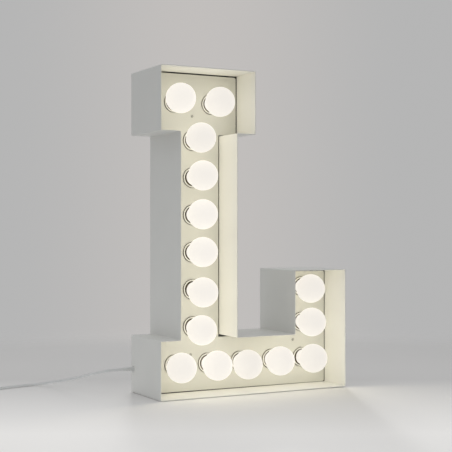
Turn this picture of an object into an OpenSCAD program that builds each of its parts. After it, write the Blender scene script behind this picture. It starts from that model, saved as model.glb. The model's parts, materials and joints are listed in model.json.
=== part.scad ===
// A light-up letter: an open sheet-metal case on a foot bar, fifteen screw-in globe bulbs standing
// in a recessed panel, and a mains lead with an inline switch, a tied coil and a plug.
// Millimetres, +Z up, the open front faces -Y. The origin is on the floor under the middle of the case.

/* [Letter] */
// Height from the floor to the top of the case
letter_h = 650; // [630:1:700]
// Width of the foot bar
letter_w = 427; // [420:1:460]
// Depth of the case from its open front to its rear edge
case_depth = 145; // [142:1:170]
// Width of the stem
stem_w = 127; // [118:1:140]
// How far the serif and the foot bar reach out to the left of the stem
overhang = 42; // [34:1:52]
// Width of the serif
serif_w = 210; // [200:1:230]
// Height of the serif
serif_h = 128; // [118:1:145]
// Height of the foot bar
bar_h = 116; // [107:1:130]
// Width of the riser at the right end of the foot bar
riser_w = 125; // [116:1:140]
// How far the riser stands above the foot bar
riser_rise = 131; // [122:1:150]

/* [Case] */
// Thickness of the folded sheet
sheet = 1.5; // [1:0.1:2]
// How far the back plate sits in from the rear edge
back_inset = 3; // [2.5:0.5:6]
// Thickness of the back plate and of the frame that it is screwed to
back_sheet = 1.5; // [1:0.1:2.5]
// Width of the rear frame
frame_w = 14; // [12:1:16]
// Gap round the back plate
back_gap = 0.3; // [0.2:0.1:1]
// Thickness of the pads under the foot bar
pad_h = 1; // [1:0.5:5]
// Diameter of a pad
pad_d = 18; // [12:1:26]
// Distance of a pad's middle from the faces of the case
pad_inset = 20; // [14:1:40]

/* [Panel] */
// Depth of the panel behind the open front
panel_recess = 78.5; // [74:0.5:82]
// Thickness of the panel
panel_sheet = 1.5; // [1:0.1:2.5]
// Gap between the panel and the case
panel_gap = 1.7; // [1.5:0.1:4]
// Radius of the panel's outer corners
panel_corner = 4; // [2:0.5:10]
// Gap round each lampholder in the panel
hole_gap = 0.9; // [0.8:0.1:3]
// Diameter of the pillars behind the panel
pillar_d = 8; // [7:0.5:9]

/* [Lamps] */
// Spacing of the lamps along the foot bar
bar_pitch = 75; // [72:0.5:77]
// Spacing of the lamps up the riser
riser_pitch = 75.6; // [72:0.1:80]
// Distance between the two lamps of the serif
serif_pitch = 83.5; // [74:0.5:90]
// Distance of the serif's lamps from the top of the case
serif_row = 62.5; // [56:0.5:68]
// How far the lampholders' rims stand out of the panel
holder_proud = 3; // [1:0.5:6]
// Outer diameter of a lampholder's rim
holder_rim_d = 39.5; // [39:0.5:46]
// Diameter of a lampholder's mouth
holder_mouth_d = 34; // [33:0.5:35]
// Length of a lampholder from its rim to its base
holder_len = 42; // [40:0.5:48]
// Width of the rails that carry the lampholders
rail_w = 26; // [24:1:27]
// Thickness of the rails
rail_sheet = 1.5; // [1:0.1:2]

/* [Bulb] */
// Diameter of the globe
globe_d = 60; // [52:1:64]
// Diameter of the globe's neck
neck_d = 31; // [28:0.5:33]
// Distance of the globe's middle from the lampholder's rim
globe_reach = 40.3; // [37:0.1:42]
// Thickness of the glass
glass = 0.9; // [0.6:0.1:1.4]
// Outer diameter of the screw cap's thread
thread_d = 26.1; // [25.9:0.05:26.4]
// Clearance between the cap's thread and its sleeve
thread_gap = 0.3; // [0.25:0.05:0.4]

/* [Lead] */
// Diameter of the lead
cord_d = 5.3; // [5:0.1:5.4]
// Height of the lead's exit above the floor
exit_z = 49; // [44:0.5:54]
// Distance of the lead's exit from the rear edge of the case
exit_from_rear = 11.5; // [11:0.5:14]
// Length of the strain relief outside the case
relief_len = 22; // [20:1:40]
// Number of turns wound inwards, and again outwards, in the coil
coil_turns = 3.75; // [2.75:1:4.75]
// Radius of the coil's innermost turn
coil_inner_r = 21.2; // [21.2:0.1:24]
// Gap between neighbouring turns of the coil
coil_gap = 0.5; // [0.5:0.05:1]

/* [Switch and plug] */
// Length of the inline switch
switch_l = 60; // [54:1:70]
// Width of the inline switch
switch_w = 26; // [24:1:30]
// Height of the inline switch
switch_h = 17; // [16:0.5:20]
// Tilt of the rocker at rest, to either side of level
rocker_tilt = 7; // [5:0.5:8]
// Diameter of the plug's body
plug_d = 38; // [36:0.5:42]
// Height of the plug's body as it lies on the floor
plug_h = 18.6; // [18:0.1:22]
// Diameter of a plug pin
pin_d = 4.8; // [4:0.1:5]
// Length of a plug pin
pin_len = 19; // [17:0.5:20]
// Distance between the plug's pins
pin_pitch = 19; // [18:0.5:20]

/* [Hidden] */
$fn = 64;

// Case: faces and steps of the letter, in X and Z
left_x = -letter_w / 2;
right_x = letter_w / 2;
front_y = -case_depth / 2;
rear_y = case_depth / 2;
case_z = pad_h;
bar_top = case_z + bar_h;
stem_l = left_x + overhang;
stem_r = stem_l + stem_w;
serif_z = letter_h - serif_h;
serif_r = left_x + serif_w;
riser_l = right_x - riser_w;
riser_top = bar_top + riser_rise;

// Depths of the layers, in Y from front to rear
panel_y = front_y + panel_recess;
panel_rear_y = panel_y + panel_sheet;
rim_y = panel_y - holder_proud;
rail_y = rim_y + holder_len;
back_rear_y = rear_y - back_inset;
back_y = back_rear_y - back_sheet;
frame_y = back_y - back_sheet;

// Terminal block behind the left end of the foot bar
block_w = 12;
block_d = 14;
block_h = 26;
block_from_wall = 24;
block_clear = 4;

// Lamps: rows and columns, how many fit, then the seats as [x, z]
rail_end = rail_w / 2;
lamp_clear = 4;
stem_spacing = 75;
stem_x = (stem_l + stem_r) / 2;
riser_x = (riser_l + right_x) / 2;
bar_z = (case_z + bar_top) / 2;
serif_lamp_z = letter_h - serif_row;
lamp_room = globe_d / 2 + lamp_clear;
bar_room = block_from_wall + block_w + 2 * block_clear + rail_end;
stem_lamps = round((serif_lamp_z - bar_z) / stem_spacing) - 1;
bar_lamps = floor((riser_x - left_x - bar_room) / bar_pitch) + 1;
riser_lamps = floor((riser_top - lamp_room - bar_z) / riser_pitch);
stem_pitch = (serif_lamp_z - bar_z) / (stem_lamps + 1);
bar_first_x = riser_x - (bar_lamps - 1) * bar_pitch;
serif_seats = [for (side = [-1, 1]) [stem_x + side * serif_pitch / 2, serif_lamp_z]];
stem_seats = [for (k = [stem_lamps:-1:1]) [stem_x, bar_z + k * stem_pitch]];
bar_seats = [for (k = [0:bar_lamps - 1]) [bar_first_x + k * bar_pitch, bar_z]];
riser_seats = [for (k = [riser_lamps:-1:1]) [riser_x, bar_z + k * riser_pitch]];
seats = concat(serif_seats, stem_seats, bar_seats, riser_seats);
lamps = len(seats);

// Screws: diameter and height of the head, diameter and length of the shank, width of the cross
panel_head_d = 5.5;
panel_head_h = 1.8;
panel_shank_d = 2.9;
panel_shank_l = 12.5;
panel_cross = 0.7;
panel_screw = [panel_head_d, panel_head_h, panel_shank_d, panel_shank_l, panel_cross];
back_head_d = 7;
back_head_h = 2;
back_shank_d = 3.4;
back_shank_l = 7.5;
back_cross = 0.9;
back_screw = [back_head_d, back_head_h, back_shank_d, back_shank_l, back_cross];
screw_play = 0.2;
pillar_bore_depth = 14;
stem_screw_drop = 26;
bar_screw_rise = 19;
riser_screw_shift = 20;
panel_screw_at = [
    [stem_x, serif_lamp_z - stem_screw_drop],
    [bar_first_x + bar_pitch / 2, bar_z + bar_screw_rise],
    [riser_x - riser_screw_shift, bar_z + riser_pitch / 2]
];
frame_line = outline(sheet + frame_w / 2);
corner_steps = 8;
stem_mid_z = (bar_top + serif_z) / 2;
back_screw_at = concat(
    [for (k = [0:len(frame_line) - 1]) if (turns_out(frame_line, k)) frame_line[k]],
    [[frame_line[2][0], stem_mid_z], [frame_line[9][0], stem_mid_z]]
);

// Lampholder, measured from its rim with +Z out of its mouth
rim_edge = 0.8;
mouth_depth = 8;
rim_depth = 14;
body_start = 20;
holder_body_r = 19;
sleeve_wall_r = 14.4;
sleeve_play = 0.2;
holder_floor = 31;
spigot_r = 8;
spigot_play = 0.2;
snap_r = 9.2;
snap_len = 3;
sleeve_top = 8.3;
sleeve_lip = 0.6;
sleeve_lip_r = 9;
contact_r = 4.5;
contact_h = 1.1;

// Screw cap, on the same axis
thread_pitch = 3.62;
thread_turns = 5;
thread_depth = 1.1;
thread_top = 9.5;
cap_top = 8;
cap_bore_r = 11.2;
cap_floor = 26;
tip_r = 4.5;
tip_gap = 0.3;
tip_h = 0.5;
insulator_r = 5;
crest_r = thread_d / 2;
root_r = crest_r - thread_depth;
thread_end = thread_top + thread_turns * thread_pitch;
cap_tip = holder_floor - contact_h - tip_gap;

// Globe, on the same axis
globe_r = globe_d / 2;
neck_r = neck_d / 2;
neck_fillet = 12;
neck_start = 4;
glass_foot_r = 11;
glass_foot = 13;
shoulder_r = 12.6;
fillet_x = neck_r + neck_fillet;
fillet_z = globe_reach - sqrt(pow(globe_r + neck_fillet, 2) - pow(fillet_x, 2));
blend_angle = atan2(globe_reach - fillet_z, -fillet_x);

// Rails and loom: the loom runs beside the rails on the back plate
loom_r = 2.5;
loom_branch_r = 1.9;
loom_ball_r = 3;
loom_gap = 1.5;
loom_side = rail_w / 2 + loom_gap + loom_r;
loom_lift = 0.2;
loom_y = back_y - loom_ball_r - loom_lift;

// Lead inside the case
exit_y = rear_y - exit_from_rear;
block_x = left_x + block_from_wall;
block_end_x = block_x + block_w;
block_top_z = exit_z + block_h / 2;
loom_rise_x = (block_end_x + bar_first_x - rail_end) / 2;
gland_play = 0.1;
gland_bore_r = cord_d / 2 + gland_play;
gland_neck_r = 4;
gland_hole_play = 0.15;
gland_hole_r = gland_neck_r + gland_hole_play;
gland_flange_r = 5.5;
gland_flange_h = 2;
gland_flange_edge = 0.5;
gland_snap_r = 4.7;
gland_snap_h = 2.5;
gland_snap_ramp = 1.5;
relief_foot = 0.5;
relief_tip = 0.8;
stud_rise = 18;
stud_x = block_x + block_w / 2;
stud_z = block_top_z + stud_rise;
stud_r = 2;
stud_len = 11;
stud_play = 0.1;
nut_r = 4;
nut_h = 3.2;
lug_r = 4.2;
lug_h = 1;
earth_wire_r = 1.2;
earth_wire_end = 1;

// Lead on the floor: its points from the strain relief to the switch, chosen by hand
cord_r = cord_d / 2;
lead_start_x = -236;
lead_points = [
    [lead_start_x, 61, 49], [-243, 61, 49], [-254, 63, 48.5], [-265, 69, 47], [-275, 79, 44], [-284, 93, 40],
    [-292, 111, 35], [-299, 132, 29.5], [-306, 156, 23.5], [-312, 182, 18], [-319, 208, 12.5], [-329, 230, 8],
    [-344, 245, 4.5], [-364, 249, 3], [-386, 246, 3], [-407, 240, 3], [-428, 234, 3], [-447, 228.5, 3],
    [-464, 225, 4], [-479, 222.5, 6.5], [-491, 222, 8.5], [-500, 222, 8.5]
];
lead_sides = 10;
lead_steps = 2;

// Switch, between the end of the lead and the start of the coil
switch_end = lead_points[len(lead_points) - 1];
switch_x = switch_end[0] - switch_l / 2;
switch_y = switch_end[1];
switch_mid_z = switch_end[2];
switch_corner = 8;
switch_wall = 1.8;
rocker_l = 18;
rocker_w = 10.4;
rocker_side_h = 2.6;
rocker_crown = 0.9;
rocker_below = 1.6;
rocker_gap = 1;
rocker_pin_r = 1.5;
rocker_pin_play = 0.25;
cheek_w = 1.7;
cheek_gap = 0.4;
cheek_r = 3;
rocker_drop = 3.6;
rocker_z = switch_h - rocker_drop;

// Coil: wound in on the lower layer and out again on the upper one
tie_sheet = 0.6;
tie_w = 8;
tie_gap = 0.3;
coil_step = cord_d + coil_gap;
coil_low_z = tie_sheet + tie_gap + cord_r;
coil_high_z = coil_low_z + coil_step;
coil_turn_blend = 0.05;
coil_outer_r = coil_r(0);
coil_lead_in = 36;
coil_lead_out = 28;
lead_in_rings = 8;
lead_out_rings = 4;
coil_x = switch_end[0] - switch_l - coil_lead_in;
coil_y = switch_y - coil_outer_r;
coil_rings = 24;
coil_sides = 6;
coil_points = concat(coil_start(), coil_loops(), coil_finish());
echo(least_gap_of_the_coil_to_itself = coil_self_gap());

// Plug, at the end of the coil, lying on its back
plug_neck_len = 24;
plug_neck_r = 5.5;
plug_neck_tip_r = 4.2;
plug_neck_sink = 2;
plug_edge = 2;
plug_x = coil_x + coil_lead_out + plug_neck_len - plug_neck_sink + plug_d / 2;
plug_y = coil_y - coil_outer_r;
pin_neck = 0.6;
pin_play = 0.1;
clip_w = 5;
clip_sheet = 0.8;
clip_recess = 2.4;
clip_rise = 6;
clip_mid_z = (clip_rise + plug_h) / 2;

function two(i) = i < 10 ? str("0", i) : str(i);

// The letter's outline in X and Z, drawn in by d on every side
function outline(d) = [
    [left_x + d, case_z + d], [left_x + d, bar_top - d], [stem_l + d, bar_top - d],
    [stem_l + d, serif_z + d], [left_x + d, serif_z + d], [left_x + d, letter_h - d],
    [serif_r - d, letter_h - d], [serif_r - d, serif_z + d], [stem_r - d, serif_z + d],
    [stem_r - d, bar_top - d], [riser_l + d, bar_top - d], [riser_l + d, riser_top - d],
    [right_x - d, riser_top - d], [right_x - d, case_z + d]
];

// Points along an arc from one angle to another
function arc(x, y, r, from, to, n) =
    [for (k = [0:n]) let (a = from + (to - from) * k / n) [x + r * cos(a), y + r * sin(a)]];

// Whether an outline turns outwards at corner k
function turns_out(p, k) = let (
    came = p[k] - p[(k + len(p) - 1) % len(p)],
    goes = p[(k + 1) % len(p)] - p[k]
) came[0] * goes[1] < came[1] * goes[0];

// The outline again, with an arc of radius r at each outer corner
function rounded(p, r) = [for (k = [0:len(p) - 1]) let (
    came = unit(p[k] - p[(k + len(p) - 1) % len(p)]),
    goes = unit(p[(k + 1) % len(p)] - p[k]),
    middle = p[k] + r * (goes - came)
) each !turns_out(p, k) ? [p[k]] : [for (j = [0:corner_steps])
    let (a = 90 * j / corner_steps) middle + r * (sin(a) * came - cos(a) * goes)]];

// A soft step from 0 to 1
function ease(t) = let (u = min(1, max(0, t))) u * u * (3 - 2 * u);

// An outline in X and Z made solid between two depths
module slab(y0, y1) {
    translate([0, y1, 0]) rotate([90, 0, 0]) linear_extrude(y1 - y0) children();
}

// A rod along Y at a place in X and Z
module rod(at, r, y0, y1) {
    slab(y0, y1) translate(at) circle(r);
}

// A lampholder's axis, with +Z out of its mouth
module at_lamp(seat) {
    translate([seat[0], rim_y, seat[1]]) rotate([90, 0, 0]) children();
}

// One folded strip of the case: two walls that meet at corner k + 1
module case_strip(k) {
    outer = outline(0);
    inner = outline(sheet);
    slab(front_y, rear_y) polygon(concat(
        [for (i = [k:k + 2]) outer[i % len(outer)]],
        [for (i = [k + 2:-1:k]) inner[i % len(inner)]]
    ));
}

module case_bar_left() {
    color("#dcdcd8") difference() {
        case_strip(0);
        translate([left_x - 1, exit_y, exit_z])
            rotate([0, 90, 0]) cylinder(r = gland_hole_r, h = sheet + 2);
    }
}

module case_stem_left() { color("#dcdcd8") case_strip(2); }
module case_crown() { color("#dcdcd8") case_strip(4); }
module case_serif_right() { color("#dcdcd8") case_strip(6); }
module case_stem_right() { color("#dcdcd8") case_strip(8); }
module case_riser() { color("#dcdcd8") case_strip(10); }
module case_base() { color("#dcdcd8") case_strip(12); }

module case_pads() {
    color("#4a4a48")
        for (x = [left_x + pad_inset, right_x - pad_inset], y = [front_y + pad_inset, rear_y - pad_inset])
            translate([x, y, 0]) cylinder(d = pad_d, h = pad_h);
}

module rear_frame() {
    color("#cfcfca") slab(frame_y, back_y) difference() {
        polygon(outline(sheet));
        polygon(outline(sheet + frame_w));
        for (at = back_screw_at) translate(at) circle(d = back_shank_d + screw_play);
    }
}

module back_plate() {
    color("#cfcfca") slab(back_y, back_rear_y) difference() {
        polygon(outline(sheet + back_gap));
        for (at = back_screw_at) translate(at) circle(d = back_shank_d + 2 * screw_play);
    }
}

// A pan-head screw along +Z, its head above 0 and its shank below, with a cross in the head
module screw(s) {
    difference() {
        union() {
            cylinder(d = s[0], h = s[1]);
            translate([0, 0, -s[3]]) cylinder(d = s[2], h = s[3] + s[1] / 2);
        }
        for (turn = [0, 90]) rotate(turn)
            translate([-s[0] / 4, -s[4] / 2, s[1] / 2]) cube([s[0] / 2, s[4], s[1]]);
    }
}

module back_plate_screws() {
    color("#8d8d8a") for (at = back_screw_at)
        translate([at[0], back_rear_y, at[1]]) rotate([-90, 0, 0]) screw(back_screw);
}

module lamp_panel() {
    color("#e6e1cf") slab(panel_y, panel_rear_y) difference() {
        polygon(rounded(outline(sheet + panel_gap), panel_corner));
        for (seat = seats) translate(seat) circle(d = holder_rim_d + 2 * hole_gap);
        for (at = panel_screw_at) translate(at) circle(d = panel_shank_d + 2 * screw_play);
    }
}

module panel_pillars() {
    color("#b9b9b4") for (at = panel_screw_at) difference() {
        rod(at, pillar_d / 2, panel_rear_y, back_y);
        rod(at, (panel_shank_d + screw_play) / 2, panel_rear_y - 1, panel_rear_y + pillar_bore_depth);
    }
}

module panel_screws() {
    color("#3b3a36") for (at = panel_screw_at)
        translate([at[0], panel_y, at[1]]) rotate([90, 0, 0]) screw(panel_screw);
}

// A channel that stands on the back plate behind a row of lamps, from one seat to another
module lamp_rail(from, to) {
    along_x = abs(to[0] - from[0]) > abs(to[1] - from[1]);
    low = [min(from[0], to[0]), min(from[1], to[1])] - [rail_end, rail_end];
    size = [abs(to[0] - from[0]), abs(to[1] - from[1])] + 2 * [rail_end, rail_end];
    inset = along_x ? [-1, rail_sheet] : [rail_sheet, -1];
    difference() {
        slab(rail_y, back_y) translate(low) square(size);
        slab(rail_y + rail_sheet, back_y + 1) translate(low + inset) square(size - 2 * inset);
        for (seat = seats) rod(seat, spigot_r + spigot_play, rail_y - 1, rail_y + rail_sheet + 1);
    }
}

module lamp_rails() {
    color("#c4c4bf") {
        lamp_rail(serif_seats[0], serif_seats[1]);
        lamp_rail(stem_seats[0], stem_seats[stem_lamps - 1]);
        lamp_rail(bar_seats[0], bar_seats[bar_lamps - 1]);
        lamp_rail(riser_seats[0], riser_seats[riser_lamps - 1]);
    }
}

module lampholder() {
    rim_r = holder_rim_d / 2;
    mouth_r = holder_mouth_d / 2;
    seat_r = sleeve_wall_r + sleeve_play;
    web = holder_len + rail_sheet;
    rotate_extrude() polygon([
        [0, -holder_floor], [seat_r, -holder_floor], [seat_r, -mouth_depth], [mouth_r, -mouth_depth],
        [mouth_r, -rim_edge], [mouth_r + rim_edge, 0], [rim_r - rim_edge, 0], [rim_r, -rim_edge],
        [rim_r, -rim_depth], [holder_body_r, -body_start], [holder_body_r, -holder_len],
        [spigot_r, -holder_len], [spigot_r, -web], [snap_r, -web], [spigot_r, -web - snap_len],
        [0, -web - snap_len]
    ]);
}

module lampholders() {
    color("#efece0") for (seat = seats) at_lamp(seat) lampholder();
}

// Points down a thread drawn as rings: roots and crests by turns, at a distance outside the cap
function thread(play) =
    [for (k = [0:2 * thread_turns])
        [(k % 2 == 0 ? root_r : crest_r) + play, -thread_top - k * thread_pitch / 2]];

module lampholder_sleeve() {
    mouth_r = crest_r + 2 * thread_gap;
    foot_r = root_r + 2 * thread_gap;
    rotate_extrude() polygon(concat(
        [[mouth_r, -sleeve_top], [mouth_r, -thread_top + thread_gap]],
        thread(thread_gap),
        [[foot_r, -thread_end - thread_gap], [foot_r, -holder_floor + sleeve_lip],
         [sleeve_lip_r, -holder_floor + sleeve_lip], [sleeve_lip_r, -holder_floor],
         [sleeve_wall_r, -holder_floor], [sleeve_wall_r, -sleeve_top]]
    ));
}

module lampholder_brass() {
    color("#c9a64e") for (seat = seats) at_lamp(seat) {
        lampholder_sleeve();
        translate([0, 0, -holder_floor]) cylinder(r = contact_r, h = contact_h);
    }
}

// Straight runs of the loom between points in X and Z on the back plate, with a ball at each point
module loom_run(points) {
    for (k = [1:len(points) - 1]) {
        a = points[k - 1];
        b = points[k];
        translate([min(a[0], b[0]), loom_y, min(a[1], b[1])])
            rotate(a[1] == b[1] ? [0, 90, 0] : [0, 0, 0])
                cylinder(r = loom_r, h = abs(b[0] - a[0]) + abs(b[1] - a[1]));
        if (k < len(points) - 1) translate([b[0], loom_y, b[1]]) sphere(loom_ball_r);
    }
}

module lamp_loom() {
    low_z = bar_z - loom_side;
    high_z = bar_z + loom_side;
    stem_side_x = stem_x - loom_side;
    riser_side_x = riser_x + loom_side;
    serif_side_z = serif_lamp_z - loom_side;
    color("#d8d4c4") union() {
        loom_run([[block_end_x, low_z], [riser_side_x, low_z], [riser_side_x, riser_seats[0][1]]]);
        loom_run([
            [loom_rise_x, low_z], [loom_rise_x, high_z], [stem_side_x, high_z], [stem_side_x, serif_side_z]
        ]);
        loom_run([[serif_seats[0][0], serif_side_z], [serif_seats[1][0], serif_side_z]]);
        translate([stem_side_x, loom_y, serif_side_z]) sphere(loom_ball_r);
        translate([loom_rise_x, loom_y, low_z]) sphere(loom_ball_r);
        for (seat = serif_seats) rod([seat[0], serif_side_z], loom_branch_r, rail_y, loom_y);
        for (seat = stem_seats) rod([stem_side_x, seat[1]], loom_branch_r, rail_y, loom_y);
        for (seat = bar_seats) rod([seat[0], low_z], loom_branch_r, rail_y, loom_y);
        for (seat = riser_seats) rod([riser_side_x, seat[1]], loom_branch_r, rail_y, loom_y);
    }
}

module terminal_block() {
    poles = 3;
    pole = block_h / poles;
    block_y = back_y - block_d;
    color("#e9e6da") difference() {
        translate([block_x, block_y, block_top_z - block_h]) cube([block_w, block_d, block_h]);
        for (k = [0:poles - 1]) {
            pole_at = [block_x + block_w / 2, exit_z + (k - 1) * pole];
            rod(pole_at, pole / 4, block_y - 1, block_y + block_d / 2);
        }
    }
}

// The stud with its nut and ring lug, and the earth wire down to the terminal block
module earth_stud() {
    color("#b8b48c") {
        rod([stud_x, stud_z], stud_r, back_y - stud_len, back_y);
        slab(back_y - lug_h - nut_h, back_y - lug_h) difference() {
            translate([stud_x, stud_z]) circle(nut_r, $fn = 6);
            translate([stud_x, stud_z]) circle(stud_r + stud_play);
        }
        slab(back_y - lug_h, back_y) difference() {
            union() {
                translate([stud_x, stud_z]) circle(lug_r);
                translate([stud_x - earth_wire_r, stud_z - 2 * lug_r])
                    square([2 * earth_wire_r, 2 * lug_r]);
            }
            translate([stud_x, stud_z]) circle(stud_r + stud_play);
        }
        translate([stud_x, back_y - lug_h - earth_wire_r, block_top_z])
            cylinder(r = earth_wire_r, h = stud_rise - lug_r - earth_wire_end);
    }
}

module cord_gland() {
    inner = -sheet - gland_play;
    snap = inner - gland_snap_h;
    tail = snap - gland_snap_ramp;
    edge_h = gland_flange_h - gland_flange_edge;
    color("#d9d9d4") translate([left_x, exit_y, exit_z]) rotate([0, -90, 0]) rotate_extrude() polygon([
        [gland_bore_r, tail], [gland_neck_r, tail], [gland_snap_r, snap], [gland_snap_r, inner],
        [gland_neck_r, inner], [gland_neck_r, 0], [gland_flange_r, 0], [gland_flange_r, edge_h],
        [gland_flange_r - gland_flange_edge, gland_flange_h], [gland_neck_r + relief_foot, gland_flange_h],
        [cord_r + relief_tip, relief_len], [gland_bore_r, relief_len]
    ]);
}

module cord_tail() {
    color("#e4e4e0") translate([lead_start_x, exit_y, exit_z])
        rotate([0, 90, 0]) cylinder(r = cord_r, h = block_x - lead_start_x);
}

// A smooth curve through points, with steps between each pair
function smooth(p, steps) = let (n = len(p)) concat(
    [for (i = [0:n - 2], k = [0:steps - 1]) let (
        t = k / steps,
        a = i == 0 ? 2 * p[0] - p[1] : p[i - 1],
        b = p[i],
        c = p[i + 1],
        d = i == n - 2 ? 2 * p[n - 1] - p[n - 2] : p[i + 2]
    ) b + ((c - a) * t + (2 * a - 5 * b + 4 * c - d) * t * t + (3 * b - a - 3 * c + d) * t * t * t) / 2],
    [p[n - 1]]
);

function unit(v) = v / norm(v);

// The way along a line of points at point i
function way(p, i) = unit(p[min(i + 1, len(p) - 1)] - p[max(i - 1, 0)]);

// A round tube along points that run roughly level
module tube(p, r, sides) {
    rings = len(p);
    skin = [for (i = [0:rings - 1]) let (
        w = way(p, i),
        across = unit(cross(w, [0, 0, 1])),
        rise = cross(across, w)
    ) for (k = [0:sides - 1]) let (a = 360 * (k + 0.5) / sides)
        p[i] + r * (cos(a) * across + sin(a) * rise)];
    walls = [for (i = [0:rings - 2], k = [0:sides - 1]) let (
        a = i * sides + k,
        b = i * sides + (k + 1) % sides
    ) each [[a, b, a + sides], [b, b + sides, a + sides]]];
    start = [for (k = [1:sides - 2]) [0, k + 1, k]];
    last = (rings - 1) * sides;
    finish = [for (k = [1:sides - 2]) [last, last + k, last + k + 1]];
    polyhedron(skin, concat(walls, start, finish));
}

module cord_lead() {
    color("#e4e4e0") tube(smooth(lead_points, lead_steps), cord_r, lead_sides);
}

// Radius and height of the coil after t turns: in on the lower layer, out on the upper one
function coil_r(t) = coil_inner_r
    + coil_step * (sqrt(pow(t - coil_turns, 2) + pow(coil_turn_blend, 2)) - coil_turn_blend);
function coil_z(t) = coil_low_z + (coil_high_z - coil_low_z) * ease((t - coil_turns + 0.25) * 2);
function coil_at(t) = let (a = 90 + 360 * t)
    [coil_x + coil_r(t) * cos(a), coil_y + coil_r(t) * sin(a), coil_z(t)];

// From the switch the lead runs straight, then down to the lower layer
function coil_start() = [for (k = [0:lead_in_rings - 1])
    let (x = coil_lead_in * k / lead_in_rings, fall = ease((x - cord_d) / (coil_lead_in - 2 * cord_d)))
    [coil_x + coil_lead_in - x, switch_y, switch_mid_z + (coil_low_z - switch_mid_z) * fall]];
function coil_loops() = [for (k = [0:round(2 * coil_turns * coil_rings)]) coil_at(k / coil_rings)];

// The end of the coil runs straight to the plug
function coil_finish() = let (last = coil_at(2 * coil_turns))
    [for (k = [1:lead_out_rings]) last + [coil_lead_out * k / lead_out_rings, 0, 0]];

// Least gap between stretches of the coil that lie more than half a turn apart
function coil_self_gap() = let (p = coil_points, n = len(p), apart = coil_rings / 2)
    min([for (i = [0:n - 1 - apart], j = [i + apart:n - 1]) norm(p[i] - p[j])]) - cord_d;

module cord_coil() {
    color("#e4e4e0") tube(coil_points, cord_r, coil_sides);
}

// A strap round all the turns where they pass the left of the coil
module coil_tie() {
    in_x = coil_x - coil_r(coil_turns - 0.5) + cord_r + 2 * tie_gap;
    out_x = coil_x - coil_r(0.25) - cord_r - tie_gap;
    top_z = coil_high_z + cord_r + tie_gap;
    color("#3f3f3f") difference() {
        translate([out_x - tie_sheet, coil_y - tie_w / 2, 0])
            cube([in_x - out_x + 2 * tie_sheet, tie_w, top_z + tie_sheet]);
        translate([out_x, coil_y - tie_w, tie_sheet]) cube([in_x - out_x, 2 * tie_w, top_z - tie_sheet]);
    }
}

// The switch's plan, drawn in by d
module switch_plan(d) {
    l = switch_l / 2 - switch_corner;
    w = switch_w / 2 - switch_corner;
    translate([switch_x, switch_y]) {
        square([2 * l, switch_w - 2 * d], center = true);
        square([switch_l - 2 * d, 2 * w], center = true);
        for (x = [-l, l], y = [-w, w]) translate([x, y]) circle(switch_corner - d);
    }
}

module switch_base() {
    color("#e8e8e4") difference() {
        linear_extrude(switch_mid_z) switch_plan(0);
        translate([0, 0, switch_wall]) linear_extrude(switch_h) switch_plan(switch_wall);
    }
}

module switch_cover() {
    cheek_y = rocker_w / 2 + cheek_gap;
    color("#e8e8e4") difference() {
        union() {
            difference() {
                translate([0, 0, switch_mid_z]) linear_extrude(switch_h - switch_mid_z) switch_plan(0);
                translate([0, 0, switch_mid_z - 1])
                    linear_extrude(switch_h - switch_mid_z - switch_wall + 1) switch_plan(switch_wall);
            }
            for (y = [switch_y - cheek_y - cheek_w, switch_y + cheek_y])
                translate([switch_x - cheek_r, y, rocker_z - cheek_r])
                    cube([2 * cheek_r, cheek_w, switch_h - rocker_z + cheek_r - switch_wall / 2]);
        }
        translate([switch_x - rocker_l / 2 - rocker_gap, switch_y - rocker_w / 2 - cheek_gap, switch_mid_z])
            cube([rocker_l + 2 * rocker_gap, rocker_w + 2 * cheek_gap, switch_h]);
        translate([switch_x, switch_y + switch_w, rocker_z])
            rotate([90, 0, 0]) cylinder(r = rocker_pin_r + rocker_pin_play, h = 2 * switch_w);
    }
}

// The rocker on its two pins, tipped towards its on side
module switch_rocker() {
    half = rocker_l / 2;
    pin_half = rocker_w / 2 + cheek_gap + cheek_w;
    color("#2f2f31") translate([switch_x, switch_y, rocker_z]) rotate([0, rocker_tilt, 0]) union() {
        translate([0, rocker_w / 2, 0]) rotate([90, 0, 0]) linear_extrude(rocker_w) polygon([
            [-half, -rocker_below], [half, -rocker_below], [half, rocker_side_h],
            [0, rocker_side_h + rocker_crown], [-half, rocker_side_h]
        ]);
        translate([0, pin_half, 0]) rotate([90, 0, 0]) cylinder(r = rocker_pin_r, h = 2 * pin_half);
    }
}

module plug_body() {
    plug_r = plug_d / 2;
    color("#e6e6e2") difference() {
        union() {
            translate([plug_x, plug_y, 0]) rotate_extrude() polygon([
                [0, 0], [plug_r - plug_edge, 0], [plug_r, plug_edge], [plug_r, plug_h - plug_edge],
                [plug_r - plug_edge, plug_h], [0, plug_h]
            ]);
            translate([coil_x + coil_lead_out, plug_y, coil_high_z]) rotate([0, 90, 0])
                cylinder(r1 = plug_neck_tip_r, r2 = plug_neck_r, h = plug_neck_len + plug_edge);
        }
        for (side = [-1, 1]) translate([plug_x - clip_w, plug_y + side * plug_r - clip_recess, clip_rise])
            cube([2 * clip_w, 2 * clip_recess, plug_h]);
        for (side = [-1, 1]) translate([plug_x, plug_y + side * pin_pitch / 2, clip_rise])
            cylinder(d = pin_d - pin_neck + pin_play, h = plug_h);
    }
}

// Two round pins up out of the plug, and the earth clips at its sides
module plug_pins() {
    color("#c7c7c2") {
        for (side = [-1, 1]) translate([plug_x, plug_y + side * pin_pitch / 2, 0]) {
            translate([0, 0, clip_rise]) cylinder(d = pin_d - pin_neck, h = plug_h - clip_rise);
            translate([0, 0, plug_h]) cylinder(d = pin_d, h = pin_len);
        }
        for (side = [-1, 1])
            translate([plug_x, plug_y + side * (plug_d / 2 - clip_recess + clip_sheet / 2), clip_mid_z])
                cube([clip_w, clip_sheet, plug_h - clip_rise], center = true);
    }
}

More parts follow.
